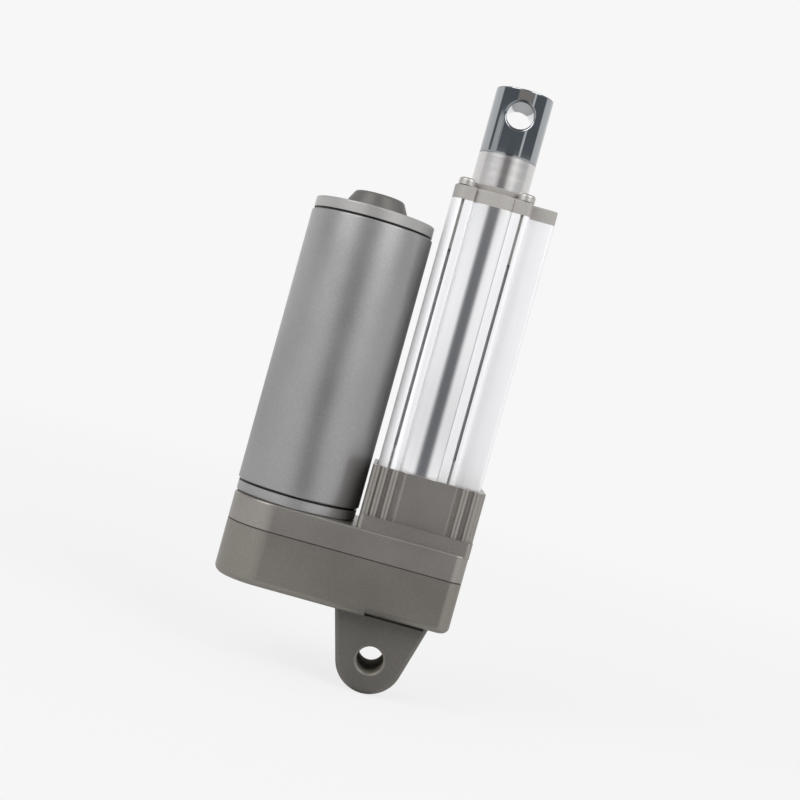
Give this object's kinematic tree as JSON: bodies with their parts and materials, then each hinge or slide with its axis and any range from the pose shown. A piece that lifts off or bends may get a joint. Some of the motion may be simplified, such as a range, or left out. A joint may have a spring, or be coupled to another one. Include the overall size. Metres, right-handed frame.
{
  "type": "electric linear actuator",
  "caption": "Electric linear actuator: a motor beside an extruded tube on a flat gearbox drives a lead screw that slides a rod, with a cross bore at each end.",
  "frame": {"origin": "centre of the rear lug's cross bore", "axes": "+Z along the rod, towards its tip; +X away from the motor, across both axes; -Y is the front"},
  "size_m": [0.0739, 0.0393, 0.1884],
  "materials": {
    "housing_paint": "dark warm-grey satin paint on die-cast aluminium",
    "lug_paint": "dark warm-grey satin paint on cast metal",
    "motor_paint": "warm-grey satin metallic paint on steel",
    "bright_aluminium": "bright anodised extrusion",
    "cap_metal": "bead-blasted die-cast aluminium",
    "satin_steel": "satin stainless tube",
    "bright_chrome": "polished chrome",
    "screw_steel": "bright zinc-plated steel",
    "hard_steel": "hardened and ground steel",
    "magnet_ferrite": "dark sintered ferrite",
    "copper_wire": "enamelled copper",
    "bush_bronze": "oil-filled sintered bronze",
    "nut_bronze": "machined bronze",
    "carbon": "pressed carbon",
    "black_polymer": "moulded glass-filled nylon",
    "idler_polymer": "moulded natural acetal",
    "board_laminate": "green glass-epoxy laminate",
    "switch_polymer": "moulded black thermoplastic",
    "button_polymer": "moulded white acetal",
    "seal_rubber": "black nitrile rubber",
    "guide_polymer": "graphite-filled polymer"
  },
  "bodies": {
    "base": {"gear_housing": "housing_paint", "gear_cover": "housing_paint", "rear_lug": "lug_paint", "housing_gasket": "seal_rubber", "housing_screws": "screw_steel", "lug_screws": "screw_steel", "tail_bush": "bush_bronze", "idler_shaft": "hard_steel", "idler_washers": "hard_steel", "lower_bearing_outer_ring": "hard_steel", "upper_bearing_outer_ring": "hard_steel", "bearing_plate": "hard_steel", "tube_screws": "screw_steel", "outer_tube": "bright_aluminium", "front_cap": "cap_metal", "cap_screws": "screw_steel", "rod_wiper": "seal_rubber", "rod_guide_bush": "guide_polymer", "switch_board": "board_laminate", "retract_switch": "switch_polymer", "extend_switch": "switch_polymer", "cable_grommet": "seal_rubber", "motor_can": "motor_paint", "motor_front_plate": "motor_paint", "motor_end_cap": "motor_paint", "motor_magnets": "magnet_ferrite", "motor_tie_bolts": "screw_steel", "motor_screws": "screw_steel", "motor_front_bush": "bush_bronze", "motor_rear_bush": "bush_bronze", "brush_holder": "black_polymer", "brushes": "carbon", "brush_springs": "hard_steel"},
    "rotor": {"motor_shaft": "hard_steel", "armature_core": "hard_steel", "armature_windings": "copper_wire", "commutator": "copper_wire", "motor_pinion": "hard_steel"},
    "idler": {"idler_gear": "idler_polymer"},
    "screw": {"lead_screw": "hard_steel", "screw_gear": "hard_steel", "gear_key": "hard_steel", "gear_clip": "hard_steel", "lower_bearing_inner_ring": "hard_steel", "upper_bearing_inner_ring": "hard_steel"},
    "rod": {"extension_tube": "satin_steel", "rod_end": "bright_chrome", "drive_nut": "nut_bronze", "nut_pins": "hard_steel", "switch_finger": "idler_polymer"},
    "retract_press": {"retract_button": "button_polymer"},
    "extend_press": {"extend_button": "button_polymer"}
  },
  "joints": [
    {"name": "motor_spin", "type": "hinge", "parent": "base", "child": "rotor", "pos_m": [-0.0346, 0, 0.08], "axis": [0, 0, -1], "range_deg": [0, 22000]},
    {"name": "idler_spin", "type": "hinge", "parent": "base", "child": "idler", "pos_m": [-0.017, 0, 0.026], "axis": [0, 0, 1], "range_deg": [0, 8251]},
    {"name": "screw_spin", "type": "hinge", "parent": "base", "child": "screw", "pos_m": [0, 0, 0.04], "axis": [0, 0, -1], "range_deg": [0, 4500.5]},
    {"name": "rod_slide", "type": "slide", "parent": "base", "child": "rod", "axis": [0, 0, 1], "range_m": [0, 0.05001]},
    {"name": "retract_button_press", "type": "slide", "parent": "base", "child": "retract_press", "axis": [1, 0, 0], "range_m": [0, 0.0006], "stiffness_N_per_m": 300},
    {"name": "extend_button_press", "type": "slide", "parent": "base", "child": "extend_press", "axis": [1, 0, 0], "range_m": [0, 0.0006], "stiffness_N_per_m": 300}
  ],
  "couplings": [
    {"joint": "idler_spin", "follows": "motor_spin", "ratio": 0.375},
    {"joint": "screw_spin", "follows": "motor_spin", "ratio": 0.20455},
    {"joint": "rod_slide", "follows": "motor_spin", "m_per_rad": 0.00013022}
  ]
}
